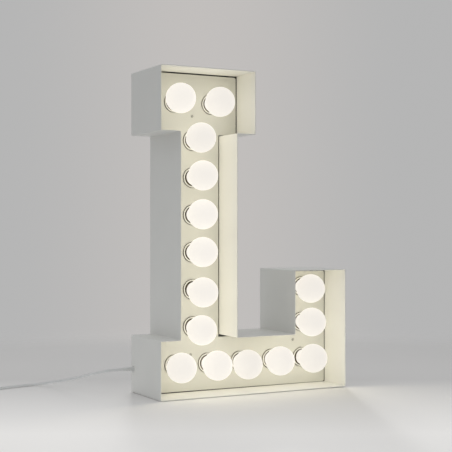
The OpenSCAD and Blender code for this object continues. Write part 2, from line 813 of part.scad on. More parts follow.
module bulb_globe(i) {
    tangent = blend_angle - 180;
    color("#f6efe0") at_lamp(seats[i - 1]) rotate_extrude() polygon(concat(
        [[glass_foot_r - glass, -glass_foot], [glass_foot_r, -glass_foot], [glass_foot_r, -cap_top],
         [shoulder_r, -cap_top], [neck_r, -neck_start]],
        arc(fillet_x, fillet_z, neck_fillet, 180, blend_angle, 8),
        arc(0, globe_reach, globe_r, tangent, 90, 28),
        arc(0, globe_reach, globe_r - glass, 90, tangent, 28),
        arc(fillet_x, fillet_z, neck_fillet + glass, blend_angle, 180, 8),
        [[neck_r - glass, -neck_start], [glass_foot_r - glass, -cap_top + glass]]
    ));
}

module bulb_cap(i) {
    color("#cfc7ae") at_lamp(seats[i - 1]) rotate_extrude() polygon(concat(
        [[0, -cap_floor], [cap_bore_r, -cap_floor], [cap_bore_r, -cap_top], [crest_r, -cap_top]],
        thread(0),
        [[insulator_r, -cap_tip + tip_h], [tip_r, -cap_tip], [0, -cap_tip]]
    ));
}

case_bar_left();
case_stem_left();
case_crown();
case_serif_right();
case_stem_right();
case_riser();
case_base();
case_pads();
rear_frame();
back_plate();
back_plate_screws();
lamp_panel();
panel_pillars();
panel_screws();
lamp_rails();
lampholders();
lampholder_brass();
lamp_loom();
terminal_block();
earth_stud();
cord_gland();
cord_tail();
cord_lead();
cord_coil();
coil_tie();
switch_base();
switch_cover();
switch_rocker();
plug_body();
plug_pins();
for (i = [1:lamps]) bulb_globe(i);
for (i = [1:lamps]) bulb_cap(i);
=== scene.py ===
import json
import math

import bmesh
import bpy
import numpy as np
from mathutils import Matrix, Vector
from mathutils.geometry import delaunay_2d_cdt


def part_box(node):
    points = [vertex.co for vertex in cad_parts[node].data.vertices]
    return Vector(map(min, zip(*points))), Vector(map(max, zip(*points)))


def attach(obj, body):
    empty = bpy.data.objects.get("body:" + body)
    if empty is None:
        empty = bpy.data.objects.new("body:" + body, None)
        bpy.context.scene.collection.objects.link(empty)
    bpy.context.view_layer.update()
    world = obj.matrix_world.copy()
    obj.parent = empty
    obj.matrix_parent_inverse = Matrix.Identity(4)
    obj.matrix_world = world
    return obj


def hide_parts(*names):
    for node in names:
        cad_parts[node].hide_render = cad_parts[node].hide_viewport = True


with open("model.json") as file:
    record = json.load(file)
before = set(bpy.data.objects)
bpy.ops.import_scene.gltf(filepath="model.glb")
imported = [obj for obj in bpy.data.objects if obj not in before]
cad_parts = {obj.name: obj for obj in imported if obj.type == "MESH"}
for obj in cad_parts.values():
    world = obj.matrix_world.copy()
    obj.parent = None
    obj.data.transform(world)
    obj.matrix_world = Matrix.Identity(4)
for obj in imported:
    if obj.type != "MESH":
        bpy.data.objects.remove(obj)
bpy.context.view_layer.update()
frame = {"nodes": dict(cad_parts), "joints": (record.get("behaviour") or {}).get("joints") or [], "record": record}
nodes = frame["nodes"]
mm = 0.001
tiny = 1e-6  # a length in millimetres that counts as nothing
bulbJoints = [j for j in frame["joints"] if j["child"].startswith("bulb")]
bulbRims = np.array([j["pos_m"] for j in bulbJoints]) / mm
print("frame:", len(nodes), "nodes,", len(bulbJoints), "bulbs")


# Camera: where the photograph was taken from, in metres and degrees
photoCamera = {
    "place": (-1.0778, -1.9688, 0.3340),
    "yaw": 27.95,  # from +Y towards +X
    "pitch": 0.12,
    "lens": 86.27,
    "sensor": 36.0,
}


# puts a camera or a lamp at a place and turns it to look along a direction, the right way up
def lookAlong(thing, place, ahead):
    right = np.cross(ahead, (0, 0, 1))
    up = np.cross(right, ahead)
    turn = np.eye(4)
    for column, way in enumerate((right, up, np.negative(ahead))):
        turn[:3, column] = way / np.linalg.norm(way)
    turn[:3, 3] = place
    thing.matrix_world = Matrix(turn.tolist())


def placeCamera(spec):
    yaw, pitch = math.radians(spec["yaw"]), math.radians(spec["pitch"])
    ahead = (math.sin(yaw) * math.cos(pitch), math.cos(yaw) * math.cos(pitch), math.sin(pitch))
    camera = bpy.data.objects.new("photoCamera", bpy.data.cameras.new("photoCamera"))
    camera.data.sensor_width = spec["sensor"]
    camera.data.lens = spec["lens"]
    lookAlong(camera, spec["place"], ahead)
    bpy.context.scene.collection.objects.link(camera)
    bpy.context.scene.camera = camera


placeCamera(photoCamera)
print("camera placed")


# Mesh helpers: arrays of points and faces become one named piece on a body
def addPiece(name, points, faces, body, slotName, sharpAngle=40):
    mesh = bpy.data.meshes.new(name)
    mesh.from_pydata(points.tolist(), [], faces)
    shell = bmesh.new()
    shell.from_mesh(mesh)
    bmesh.ops.recalc_face_normals(shell, faces=shell.faces)
    shell.to_mesh(mesh)
    shell.free()
    mesh.polygons.foreach_set("use_smooth", np.ones(len(mesh.polygons), bool))
    mesh.set_sharp_from_angle(angle=math.radians(sharpAngle))
    piece = bpy.data.objects.new(name, mesh)
    bpy.context.scene.collection.objects.link(piece)
    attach(piece, body)
    mesh.materials.append(finishes[slotName])
    return piece


# lowest and highest corners of a CAD node, in millimetres
def boxOf(node):
    low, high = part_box(node)
    return np.array(low) / mm, np.array(high) / mm


# evenly spaced angles, one for each point of a ring
def ringAngles(sides):
    return np.arange(sides) * 2 * np.pi / sides


# rows brought to a length of 1
def unitRows(rows):
    return rows / np.linalg.norm(rows, axis=1, keepdims=True)


# points drawn in X and Z, with their depths put in as Y
def standUp(plan, depth):
    return np.stack([plan[..., 0], np.broadcast_to(depth, plan.shape[:2]), plan[..., 1]], -1)


# faces of a stack of closed rings, with a fan to one more point at each end; its points count on from first
def ringFaces(rings, sides, first):
    row = first + np.arange(rings - 1)[:, None] * sides
    here = np.arange(sides)
    there = (here + 1) % sides
    quads = np.stack([row + here, row + there, row + sides + there, row + sides + here], -1)
    last = first + (rings - 1) * sides
    ends = first + rings * sides
    start = np.stack([first + there, first + here, np.full(sides, ends)], -1)
    finish = np.stack([last + here, last + there, np.full(sides, ends + 1)], -1)
    return quads.reshape(-1, 4).tolist() + start.tolist() + finish.tolist()


# points of a stack of rings, then the middle of the first ring and of the last
def ringPoints(rings):
    flat = rings.reshape(-1, 3)
    return np.vstack([flat, rings[0].mean(0), rings[-1].mean(0)])


# rings of a tube: a circle of that radius carried along a path that is nowhere upright, square to it
def tubeRings(path, radius, sides):
    ahead = unitRows(np.gradient(path, axis=0))
    across = unitRows(np.cross(ahead, (0, 0, 1)))
    rise = np.cross(across, ahead)
    angle = ringAngles(sides)
    return (path[:, None] + radius * np.cos(angle)[None, :, None] * across[:, None]
            + radius * np.sin(angle)[None, :, None] * rise[:, None])


# points along a line through the given points: a cubic between each pair, steps to a pair
def smoothPath(points, steps):
    p = np.vstack([2 * points[0] - points[1], points, 2 * points[-1] - points[-2]])
    a, b, c, d = p[:-3, None], p[1:-2, None], p[2:-1, None], p[3:, None]
    t = (np.arange(steps) / steps)[None, :, None]
    line = b + ((c - a) * t + (2 * a - 5 * b + 4 * c - d) * t ** 2 + (3 * b - a - 3 * c + d) * t ** 3) / 2
    return np.vstack([line.reshape(-1, 3), points[-1:]])


# a line of corners with an arc at each: it leaves and meets the sides square to the arc's radius
def filletLine(corners, radii, steps):
    p = np.array(corners, float)
    back, on = unitRows(p[:-2] - p[1:-1]), unitRows(p[2:] - p[1:-1])
    half = np.arccos(np.clip((back * on).sum(1), -1, 1)) / 2
    reach = np.broadcast_to(radii, half.shape) / np.tan(half)
    start, finish = p[1:-1] + back * reach[:, None], p[1:-1] + on * reach[:, None]
    middle = p[1:-1] + (back + on) * (reach / (2 * np.cos(half) ** 2))[:, None]
    t = np.linspace(0, 1, steps)[None, :, None]
    sweep = (np.pi - 2 * half)[:, None, None]
    arcs = middle[:, None] + (np.sin((1 - t) * sweep) * (start - middle)[:, None]
                              + np.sin(t * sweep) * (finish - middle)[:, None]) / np.sin(sweep)
    return np.vstack([p[:1], arcs.reshape(-1, p.shape[1]), p[-1:]])


# rings of a turned shape: at each step the profile gives a radius and a distance along the axis
def turnedRings(profile, base, axis, sides):
    axis = np.array(axis, float)
    side = np.array((1.0, 0, 0)) if axis[2] else np.cross(axis, (0, 0, 1))  # an axis is upright or level
    rise = np.cross(axis, side)
    angle = ringAngles(sides)
    spoke = np.cos(angle)[:, None] * side + np.sin(angle)[:, None] * rise
    return np.array(base) + profile[:, 1][:, None, None] * axis + profile[:, 0][:, None, None] * spoke


# a rounded rectangle in plan for each row of half length, half width, corner radius and height
def plateRings(rows, middle, perCorner):
    halfX, halfY, radius, z = np.array(rows, float).T[:, :, None]
    angle = (np.arange(4)[:, None] * 90 + np.linspace(0, 90, perCorner)[None, :]).ravel() * np.pi / 180
    signX = np.repeat((1, -1, -1, 1), perCorner)
    signY = np.repeat((1, 1, -1, -1), perCorner)
    x = signX * (halfX - radius) + radius * np.cos(angle)
    y = signY * (halfY - radius) + radius * np.sin(angle)
    return np.stack([x + middle[0], y + middle[1], z + 0 * x], -1)


# rows of radius and distance along an axis: an even taper, less the square of a cosine at each groove
def groovedTaper(radii, along, spec):
    t = np.linspace(0, 1, spec["taperRings"])
    groove = np.clip(np.cos(2 * np.pi * (t * spec["grooves"] - 0.5)), 0, 1) ** 2
    start, stop = spec["grooved"]
    radius = radii[0] + (radii[1] - radii[0]) * t - spec["grooveDepth"] * groove * (t > start) * (t < stop)
    return np.stack([radius, along[0] + (along[1] - along[0]) * t], -1)


# several closed stacks of rings, in millimetres, as one set of points in metres and their faces
def joinStacks(stacks):
    points, faces, count = [], [], 0
    for rings in stacks:
        points.append(ringPoints(rings))
        faces += ringFaces(*rings.shape[:2], count)
        count += len(points[-1])
    return np.vstack(points) * mm, faces


# Finishes: two close tones clouded together, a roughness that follows the clouds, and a fine grain
cloudSpan = (0.3, 0.7)  # values of the clouds at which the tones are reached
cloudDetail, grainDetail = 4, 2
paint = {"tones": ((0.78, 0.77, 0.725), (0.81, 0.80, 0.755)), "cloud": 9, "rough": (0.38, 0.5),
         "grain": 700, "height": 0.00006}
finishSpecs = {
    # the case's paint, with a near-black tone of painted shade for its inside walls behind the panel
    "case_paint": {**paint, "shadeTone": (0.045, 0.031, 0.016)},
    # the panel's paint is the case's paint made darker: painted shade against the bulbs' lamps so close to it
    "panel_paint": {**paint, "tones": ((0.68, 0.67, 0.605), (0.71, 0.70, 0.635))},
    "cap_metal": {"tones": ((0.72, 0.70, 0.64), (0.82, 0.80, 0.74)), "cloud": 60, "rough": (0.2, 0.35),
                  "grain": 900, "height": 0.00002, "metal": 1.0},
    # the lampholders' plastic, with a brown tone of painted shade for the cup below its rim
    "holder_plastic": {"tones": ((0.80, 0.79, 0.73), (0.84, 0.83, 0.77)), "cloud": 40, "rough": (0.25, 0.35),
                       "grain": 1600, "height": 0.00002, "shadeTone": (0.11, 0.08, 0.045)},
    "brass": {"tones": ((0.70, 0.52, 0.22), (0.80, 0.62, 0.30)), "cloud": 50, "rough": (0.2, 0.4),
              "grain": 800, "height": 0.00002, "metal": 1.0},
    "zinc_steel": {"tones": ((0.52, 0.53, 0.54), (0.62, 0.62, 0.62)), "cloud": 70, "rough": (0.3, 0.5),
                   "grain": 700, "height": 0.00003, "metal": 1.0},
    "dark_screw": {"tones": ((0.42, 0.41, 0.37), (0.52, 0.51, 0.47)), "cloud": 200, "rough": (0.3, 0.45),
                   "grain": 2000, "height": 0.00002, "metal": 0.5},
    "loom_plastic": {"tones": ((0.72, 0.70, 0.62), (0.78, 0.76, 0.68)), "cloud": 30, "rough": (0.45, 0.6),
                     "grain": 900, "height": 0.00003},
    "lead_plastic": {"tones": ((0.68, 0.68, 0.66), (0.73, 0.73, 0.71)), "cloud": 25, "rough": (0.4, 0.55),
                     "grain": 1100, "height": 0.00004},
    "tie_strap": {"tones": ((0.012, 0.012, 0.013), (0.035, 0.035, 0.036)), "cloud": 700,
                  "rough": (0.8, 0.95), "grain": 1500, "height": 0.0004},
    "switch_plastic": {"tones": ((0.78, 0.78, 0.75), (0.82, 0.82, 0.79)), "cloud": 35, "rough": (0.3, 0.42),
                       "grain": 2200, "height": 0.00003},
    "rocker_plastic": {"tones": ((0.018, 0.018, 0.02), (0.03, 0.03, 0.032)), "cloud": 60,
                       "rough": (0.3, 0.4), "grain": 2200, "height": 0.00003},
    "pin_metal": {"tones": ((0.66, 0.65, 0.62), (0.74, 0.73, 0.70)), "cloud": 90, "rough": (0.15, 0.3),
                  "grain": 900, "height": 0.00001, "metal": 1.0},
    "pad_felt": {"tones": ((0.025, 0.025, 0.024), (0.06, 0.06, 0.058)), "cloud": 900, "rough": (0.9, 1.0),
                 "grain": 1800, "height": 0.0005},
}


def startFinish(name):
    material = bpy.data.materials.new(name)
    material.use_nodes = True
    tree = material.node_tree
    return material, tree, tree.nodes["Principled BSDF"], tree.nodes.new("ShaderNodeTexCoord")


def addNoise(tree, place, scale, detail):
    noise = tree.nodes.new("ShaderNodeTexNoise")
    noise.inputs["Scale"].default_value = scale
    noise.inputs["Detail"].default_value = detail
    tree.links.new(place, noise.inputs["Vector"])
    return noise.outputs["Fac"]


# a value carried from one range to another, and held at the ends
def mapTo(tree, value, source, target, smooth=False):
    span = tree.nodes.new("ShaderNodeMapRange")
    if smooth:
        span.interpolation_type = "SMOOTHSTEP"
    for name, number in zip(("From Min", "From Max", "To Min", "To Max"), (*source, *target)):
        span.inputs[name].default_value = number
    tree.links.new(value, span.inputs["Value"])
    return span.outputs["Result"]


def addMath(tree, operation, first, second):
    node = tree.nodes.new("ShaderNodeMath")
    node.operation = operation
    for socket, value in zip(node.inputs, (first, second)):
        if isinstance(value, (int, float)):
            socket.default_value = value
        else:
            tree.links.new(value, socket)
    return node.outputs["Value"]


def toneBetween(tree, value, tones):
    ramp = tree.nodes.new("ShaderNodeValToRGB")
    for stop, at, tone in zip(ramp.color_ramp.elements, cloudSpan, tones):
        stop.position = at
        stop.color = (*tone, 1)
    tree.links.new(value, ramp.inputs["Fac"])
    return ramp.outputs["Color"]


# the first tone where the share is 0 and the second where it is 1; a tone is a colour or a node's output
def mixTones(tree, share, first, second):
    mix = tree.nodes.new("ShaderNodeMix")
    mix.data_type = "RGBA"
    tree.links.new(share, mix.inputs[0])
    for socket, tone in zip(mix.inputs[6:8], (first, second)):  # the node's colour sockets, A and B
        if isinstance(tone, tuple):
            socket.default_value = (*tone, 1)
        else:
            tree.links.new(tone, socket)
    return mix.outputs[2]  # its colour


def readShare(tree, name):
    share = tree.nodes.new("ShaderNodeAttribute")
    share.attribute_name = name
    return share.outputs["Fac"]


def writeShare(piece, name, values):
    share = piece.data.attributes.new(name, "FLOAT", "POINT")
    share.data.foreach_set("value", values.astype(np.float32))


def makeFinish(name, spec):
    material, tree, shader, where = startFinish(name)
    cloud = addNoise(tree, where.outputs["Object"], spec["cloud"], cloudDetail)
    grain = addNoise(tree, where.outputs["Object"], spec["grain"], grainDetail)
    tone = toneBetween(tree, cloud, spec["tones"])
    # a tone of painted shade, mixed in where the mesh's share says so
    if "shadeTone" in spec:
        tone = mixTones(tree, readShare(tree, "inShade"), tone, spec["shadeTone"])
    tree.links.new(tone, shader.inputs["Base Color"])
    tree.links.new(mapTo(tree, cloud, cloudSpan, spec["rough"]), shader.inputs["Roughness"])
    bump = tree.nodes.new("ShaderNodeBump")
    bump.inputs["Distance"].default_value = spec["height"]
    tree.links.new(grain, bump.inputs["Height"])
    tree.links.new(bump.outputs["Normal"], shader.inputs["Normal"])
    shader.inputs["Metallic"].default_value = spec.get("metal", 0.0)
    return material


# Opal glass: a milky gloss that glows, down to a collar where it meets its cap, without glow and in painted shade
opal = {
    "tones": ((0.17, 0.165, 0.15), (0.19, 0.185, 0.17)),
    # painted shade: the collar's tone, down in the lampholder's mouth
    "collar": (0.14, 0.11, 0.07),
    "cloud": 30,
    "detail": 3,
    "rough": 0.3,
    "gloss": 0.06,
    "glow": (1.0, 0.95, 0.885),
    "strength": 0.82,
}


def makeOpal(spec):
    material, tree, shader, where = startFinish("opal_glass")
    cloud = addNoise(tree, where.outputs["Object"], spec["cloud"], spec["detail"])
    lit = readShare(tree, "lit")
    # where the glass doesn't glow it takes the collar's painted shade
    tone = mixTones(tree, lit, spec["collar"], toneBetween(tree, cloud, spec["tones"]))
    tree.links.new(tone, shader.inputs["Base Color"])
    shader.inputs["Roughness"].default_value = spec["rough"]
    shader.inputs["Specular IOR Level"].default_value = spec["gloss"]
    shader.inputs["Emission Color"].default_value = (*spec["glow"], 1)
    tree.links.new(addMath(tree, "MULTIPLY", lit, spec["strength"]), shader.inputs["Emission Strength"])
    return material


finishes = {name: makeFinish(name, spec) for name, spec in finishSpecs.items()}
finishes["opal_glass"] = makeOpal(opal)
for row in frame["record"]["subparts"]:
    cadMesh = nodes[row["node"]].data
    cadMesh.materials.clear()
    cadMesh.materials.append(finishes[row["material_slot"]])
print("finishes:", len(finishes))


# Lead: from the strain relief down to the floor and along it to the switch, in millimetres
lead = {
    "diameter": 5.3,
    "sides": 20,
    "steps": 6,
    "points": [
        (-236, 61, 49), (-243, 61, 49), (-254, 63, 48.5), (-265, 69, 47), (-275, 79, 44), (-284, 93, 40),
        (-292, 111, 35), (-299, 132, 29.5), (-306, 156, 23.5), (-312, 182, 18), (-319, 208, 12.5),
        (-329, 230, 8), (-344, 245, 4.5), (-364, 249, 3), (-386, 246, 3), (-407, 240, 3), (-428, 234, 3),
        (-447, 228.5, 3), (-464, 225, 4), (-479, 222.5, 6.5), (-491, 222, 8.5), (-500, 222, 8.5),
    ],
}

# Coil: in on the lower layer, out again on the upper one, then straight to the plug
coil = {
    "turns": 3.75,
    "innerRadius": 21.2,
    "gap": 0.5,
    "blend": 0.05,  # turns over which it stops going in and starts to go out
    "climb": 0.5,  # turns over which it rises to the upper layer
    "tieSheet": 0.6,
    "tieGap": 0.3,
    "leadIn": 36,
    "leadOut": 28,
    "ringsPerTurn": 72,
    "switchLength": 60,
}


# a smooth step from 0 to 1: three times the square less twice the cube
def easeStep(t):
    u = np.clip(t, 0, 1)
    return u * u * (3 - 2 * u)


# the sum of the steps from point to point
def lengthOf(path):
    return float(np.linalg.norm(np.diff(path, axis=0), axis=1).sum())


# in the coil the radius is a hyperbola of the turns, least halfway, and the height eases up about there;
# before it the lead eases down to the lower layer, and after it runs straight to the plug
def coilPath():
    step = lead["diameter"] + coil["gap"]
    lowZ = coil["tieSheet"] + coil["tieGap"] + lead["diameter"] / 2
    turns, blend = coil["turns"], coil["blend"]

    def coilRadius(t):
        return coil["innerRadius"] + step * (np.sqrt((t - turns) ** 2 + blend ** 2) - blend)

    startX, startY, startZ = np.array(lead["points"][-1]) - (coil["switchLength"], 0, 0)
    middleX = startX - coil["leadIn"]
    middleY = startY - coilRadius(0)
    run = np.arange(0, coil["leadIn"], 1.0)
    fall = easeStep((run - lead["diameter"]) / (coil["leadIn"] - 2 * lead["diameter"]))
    intoCoil = np.stack([startX - run, np.full(len(run), startY), startZ + (lowZ - startZ) * fall], -1)
    t = np.linspace(0, 2 * turns, round(2 * turns * coil["ringsPerTurn"]) + 1)
    angle = np.pi / 2 + 2 * np.pi * t
    height = lowZ + step * easeStep((t - turns) / coil["climb"] + 0.5)
    wide = coilRadius(t)
    loops = np.stack([middleX + wide * np.cos(angle), middleY + wide * np.sin(angle), height], -1)
    away = np.arange(1, coil["leadOut"] + 1.0)
    toPlug = loops[-1] + np.stack([away, 0 * away, 0 * away], -1)
    return np.vstack([intoCoil, loops, toPlug])


def addCord(name, path, node):
    rings = tubeRings(path, lead["diameter"] / 2, lead["sides"])
    cord = addPiece(name, *joinStacks([rings]), "letter", "lead_plastic")
    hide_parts(node)
    return cord


leadPath = smoothPath(np.array(lead["points"], float), lead["steps"])
windPath = coilPath()
leadCord = addCord("leadCord", leadPath, "cord_lead")
coilCord = addCord("coilCord", windPath, "cord_coil")
print("cords:", round(lengthOf(leadPath)), "and", round(lengthOf(windPath)), "mm")


# Globes: a neck that swells through a fillet into a sphere, leaning a little in its cap
globe = {
    "neck": 15.5,
    "fillet": 12.0,
    "foot": 11.0,
    "shoulder": 12.6,
    "footDepth": 13.0,
    "capDepth": 8.0,
    "neckDepth": 4.0,
    "neckSteps": 16,
    "waistSteps": 12,
    "ballSteps": 48,
    "sides": 72,
    "collarTop": 0.3,
    "collarFade": 1.0,
    "tipDim": 0.03,
    "tipShare": 1 / 3,  # how far the tip stands past the last ring, as a share of a step
    "leans": [  # millimetres in X and Z at the globe's middle
        (-4, 4), (0, 1), (-1, 3), (3.5, 3), (3, 1), (3, 1), (4, -4), (1, -4), (-3, -1), (2, -1),
        (-3, -3), (-1.5, 0), (4, 1), (-2, -3), (0.5, 2),
    ],
    "levels": [1.06, 1, 1, 1.02, 1.05, 1.05, 1.03, 1.03, 1.01, 1.03, 0.97, 1, 0.96, 0.98, 0.98],
}


# profile of the globe as radius and distance out of the rim: a stepped foot, a straight neck, an arc that
# swells out of it and the circle that the arc meets
def globeProfile(radius, reach):
    neck, fillet, cap = globe["neck"], globe["fillet"], -globe["capDepth"]
    filletX = neck + fillet
    filletZ = reach - math.sqrt((radius + fillet) ** 2 - filletX ** 2)
    meet = math.atan2(reach - filletZ, -filletX)
    waist = np.linspace(math.pi, meet, globe["waistSteps"])
    ball = np.linspace(meet - math.pi, math.pi / 2, globe["ballSteps"])[1:-1]
    foot = [(globe["foot"], -globe["footDepth"]), (globe["foot"], cap), (globe["shoulder"], cap)]
    rise = np.linspace(-globe["neckDepth"], filletZ, globe["neckSteps"])[:-1]
    straight = np.stack([np.full(len(rise), neck), rise], -1)
    swell = np.stack([filletX + fillet * np.cos(waist), filletZ + fillet * np.sin(waist)], -1)
    sphere = np.stack([radius * np.cos(ball), reach + radius * np.sin(ball)], -1)
    return np.vstack([foot, straight, swell, sphere])


# how strongly each point glows: nothing below the collar's top, most at the neck, a little less at the tip
def glowOf(out, level):
    fade = easeStep((out - globe["collarTop"]) / globe["collarFade"])
    return level * fade * (1 - globe["tipDim"] * np.clip(out / out.max(), 0, 1))


# Light of the bulbs: a small lamp just ahead of each globe's middle, whose glass lets it through, and for
# each bulb with a floor share one more for the floor, each with its share of the power
bulbLight = {
    "power": 0.0375,
    "size": 0.012,
    "ahead": 12,
    "tint": (1.0, 0.95, 0.72),
    "shares": [1.08] * 2 + [0.87] * 6 + [1.18] * 5 + [1] * 2,
    "floorShares": [0] * 4 + [2.6] * 4 + [1.9] * 5 + [2.6] * 2,
}
offFloor = bpy.data.collections.new("offFloor")
onFloor = bpy.data.collections.new("onFloor")


def addLight(name, kind, power, reached):
    light = bpy.data.objects.new(name, bpy.data.lights.new(name, kind))
    light.data.energy = power
    light.light_linking.receiver_collection = reached
    bpy.context.scene.collection.objects.link(light)
    return light


def addBulbLight(name, place, share, reached):
    light = addLight(name, "POINT", bulbLight["power"] * share, reached)
    light.data.shadow_soft_size = bulbLight["size"]
    light.data.color = bulbLight["tint"]
    light.location = place.tolist()


# the profile turned about the bulb's axis, then tipped about a point in the cap: by nothing there, and by
# the whole lean from the rim outwards
def addGlobe(bulb, rim, lean, level, share, floorShare):
    low, high = boxOf(bulb + "_globe")
    radius = (high[0] - low[0]) / 2
    reach = rim[1] - low[1] - radius
    profile = globeProfile(radius, reach)
    angle = ringAngles(globe["sides"])
    out = np.repeat(profile[:, 1:], globe["sides"], 1)
    x, z = profile[:, :1] * np.cos(angle), profile[:, :1] * np.sin(angle)
    pivot = -globe["capDepth"]
    size = math.hypot(*lean)
    tilt = size / (reach - pivot) * easeStep((out - pivot) / globe["capDepth"])
    toX, toZ = np.array(lean) / max(size, tiny)
    sideways = x * toX + z * toZ
    shift = sideways * np.cos(tilt) + (out - pivot) * np.sin(tilt) - sideways
    out = pivot + (out - pivot) * np.cos(tilt) - sideways * np.sin(tilt)
    rings = np.stack([rim[0] + x + shift * toX, rim[1] - out, rim[2] + z + shift * toZ], -1)
    points, faces = joinStacks([rings])
    points[-1] += (rings[-1].mean(0) - rings[-2].mean(0)) * globe["tipShare"] * mm
    piece = addPiece(bulb + "_opal", points, faces, bulb, "opal_glass")
    along = np.append(np.repeat(profile[:, 1], globe["sides"]), (profile[0, 1], profile[-1, 1]))
    writeShare(piece, "lit", glowOf(along, level))
    piece.visible_shadow = False
    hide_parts(bulb + "_globe")
    place = (rim - (0, reach + bulbLight["ahead"], 0)) * mm
    addBulbLight(bulb + "_light", place, share, offFloor)
    if floorShare > 0:
        addBulbLight(bulb + "_spill", place, floorShare, onFloor)


bulbNames = [j["child"] for j in bulbJoints]
for bulbRow in zip(bulbNames, bulbRims, globe["leans"], globe["levels"], bulbLight["shares"],
                   bulbLight["floorShares"]):
    addGlobe(*bulbRow)
print("globes:", len(bulbJoints))


# Case: seven folded strips of sheet, each with one fold, mitred and welded where they meet
case = {
    "sheet": 1.5,
    "foldRadius": 1.2,
    "weldRadius": 0.4,
    "edgeRadius": 0.45,
    "arcSteps": 7,
    "edgeSteps": 5,
    "painted": 0.2,  # how far behind the panel's face the painted shade on the inside walls starts
    "shadeFade": 0.5,
    "strips": ["case_bar_left", "case_stem_left", "case_crown", "case_serif_right", "case_stem_right",
               "case_riser", "case_base"],
}


# corners of the letter in X and Z, clockwise from the bottom left, drawn in by d on every side
def letterCorners(d):
    crownLow, crownHigh = boxOf("case_crown")
    barLow, barHigh = boxOf("case_bar_left")
    riserLow, riserHigh = boxOf("case_riser")
    serifLow = boxOf("case_serif_right")[0]
    left, serifRight, serifZ, top = crownLow[0], crownHigh[0], crownLow[2], crownHigh[2]
    floorZ, barTop, stemLeft = barLow[2], barHigh[2], barHigh[0] - case["sheet"]
    stemRight, riserLeft = serifLow[0] + case["sheet"], riserLow[0]
    right, riserTop = riserHigh[0], riserHigh[2]
    return np.array([
        [left + d, floorZ + d], [left + d, barTop - d], [stemLeft + d, barTop - d],
        [stemLeft + d, serifZ + d], [left + d, serifZ + d], [left + d, top - d],
        [serifRight - d, top - d], [serifRight - d, serifZ + d], [stemRight - d, serifZ + d],
        [stemRight - d, barTop - d], [riserLeft + d, barTop - d], [riserLeft + d, riserTop - d],
        [right - d, riserTop - d], [right - d, floorZ + d],
    ])


# whether the outline turns outwards at each corner
def turnsOut(corners):
    came = corners - np.roll(corners, 1, 0)
    goes = np.roll(corners, -1, 0) - corners
    return came[:, 0] * goes[:, 1] < came[:, 1] * goes[:, 0]


# outer and inner points round every corner: two arcs on one centre, which lies on the corner's tight side
def cornerArcs():
    sheet = case["sheet"]
    outer = letterCorners(0)
    came = unitRows(outer - np.roll(outer, 1, 0))
    goes = unitRows(np.roll(outer, -1, 0) - outer)
    tight = np.where(np.arange(len(outer)) % 2, case["foldRadius"], case["weldRadius"])
    outward = turnsOut(outer)
    inset = np.where(outward, sheet + tight, -tight)
    inward = letterCorners(1) - outer
    middle = outer + inward * inset[:, None]
    outerRadius = np.where(outward, tight + sheet, tight)
    innerRadius = np.where(outward, tight, tight + sheet)
    t = np.linspace(0, np.pi / 2, case["arcSteps"])[None, :, None]
    ray = np.sin(t) * came[:, None] - np.cos(t) * goes[:, None]
    return [middle[:, None] + radius[:, None, None] * ray for radius in (outerRadius, innerRadius)]


# the strip's section: a thin rounded rectangle, as shares of the sheet's thickness and depths in Y, with
# four more points inside: painted shade on the inside wall from behind the panel to the back plate
def stripSection(front, rear):
    sheet, edge, fade = case["sheet"], case["edgeRadius"], case["shadeFade"]
    half, middle = (sheet / 2, (rear - front) / 2), (sheet / 2, (front + rear) / 2)
    ring = plateRings([(*half, edge, 0)], middle, case["edgeSteps"])[0]
    start, stop = boxOf("lamp_panel")[0][1] + case["painted"], boxOf("back_plate")[1][1]
    share = np.append(ring[:, 0] / sheet, [1] * 4)
    depth = np.append(ring[:, 1], (start, start + fade, stop - fade, stop))
    # the share of painted shade at each point of the section
    inShade = np.append(np.zeros(len(ring)), (0, 1, 1, 0))
    return share, depth, inShade


# each strip is the section carried from the middle of one weld's arcs, round its fold, to the next weld's
def addCase():
    outer, inner = cornerArcs()
    low, high = boxOf("case_crown")
    share, depth, inShade = stripSection(low[1], high[1])
    half = case["arcSteps"] // 2
    count = len(outer)
    for number, node in enumerate(case["strips"]):
        first, fold, last = 2 * number, 2 * number + 1, (2 * number + 2) % count
        outside = np.vstack([outer[first][half:], outer[fold], outer[last][:half + 1]])
        inside = np.vstack([inner[first][half:], inner[fold], inner[last][:half + 1]])
        plan = outside[:, None] + (inside - outside)[:, None] * share[None, :, None]
        rings = standUp(plan, depth)
        strip = addPiece(node + "_folded", *joinStacks([rings]), "letter", "case_paint")
        # painted shade on the inside walls behind the panel, seen through the gap round it
        writeShare(strip, "inShade", np.append(np.tile(inShade, len(rings)), (0, 0)))
        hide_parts(node)


addCase()
print("case:", len(case["strips"]), "strips")


# Panel: one sheet with eased edges and a hole round each lampholder, which hangs a little low in the case
panel = {
    "gap": 1.7,
    "trims": [  # corners, the axis that they are shifted along, and how far
        ((5, 6), 1, -0.9),
        ((6, 7), 0, -0.4),
        ((9, 10), 1, -2.8),
        ((11, 12), 1, -2.5),
        ((13,), 1, -1.0),
        ((0,), 1, 0.3),
    ],
    "corner": 4.0,
    "innerCorner": 0.6,
    "cornerSteps": 8,
    "edge": 0.3,
    "edgeSteps": 4,
    "hole": 20.65,
    "sides": 64,
    "sharpAngle": 15,
}


# the panel's outline drawn in by that much, with an arc at each corner
def panelLoop(inset):
    corners = letterCorners(case["sheet"] + panel["gap"] + inset)
    for ends, axis, shift in panel["trims"]:
        corners[list(ends), axis] += shift
    radii = np.where(turnsOut(corners), panel["corner"] - inset, panel["innerCorner"] + inset)
    start = corners[[0, -1]].mean(0)
    return filletLine(np.vstack([start, corners, start]), radii, panel["cornerSteps"])[:-1]


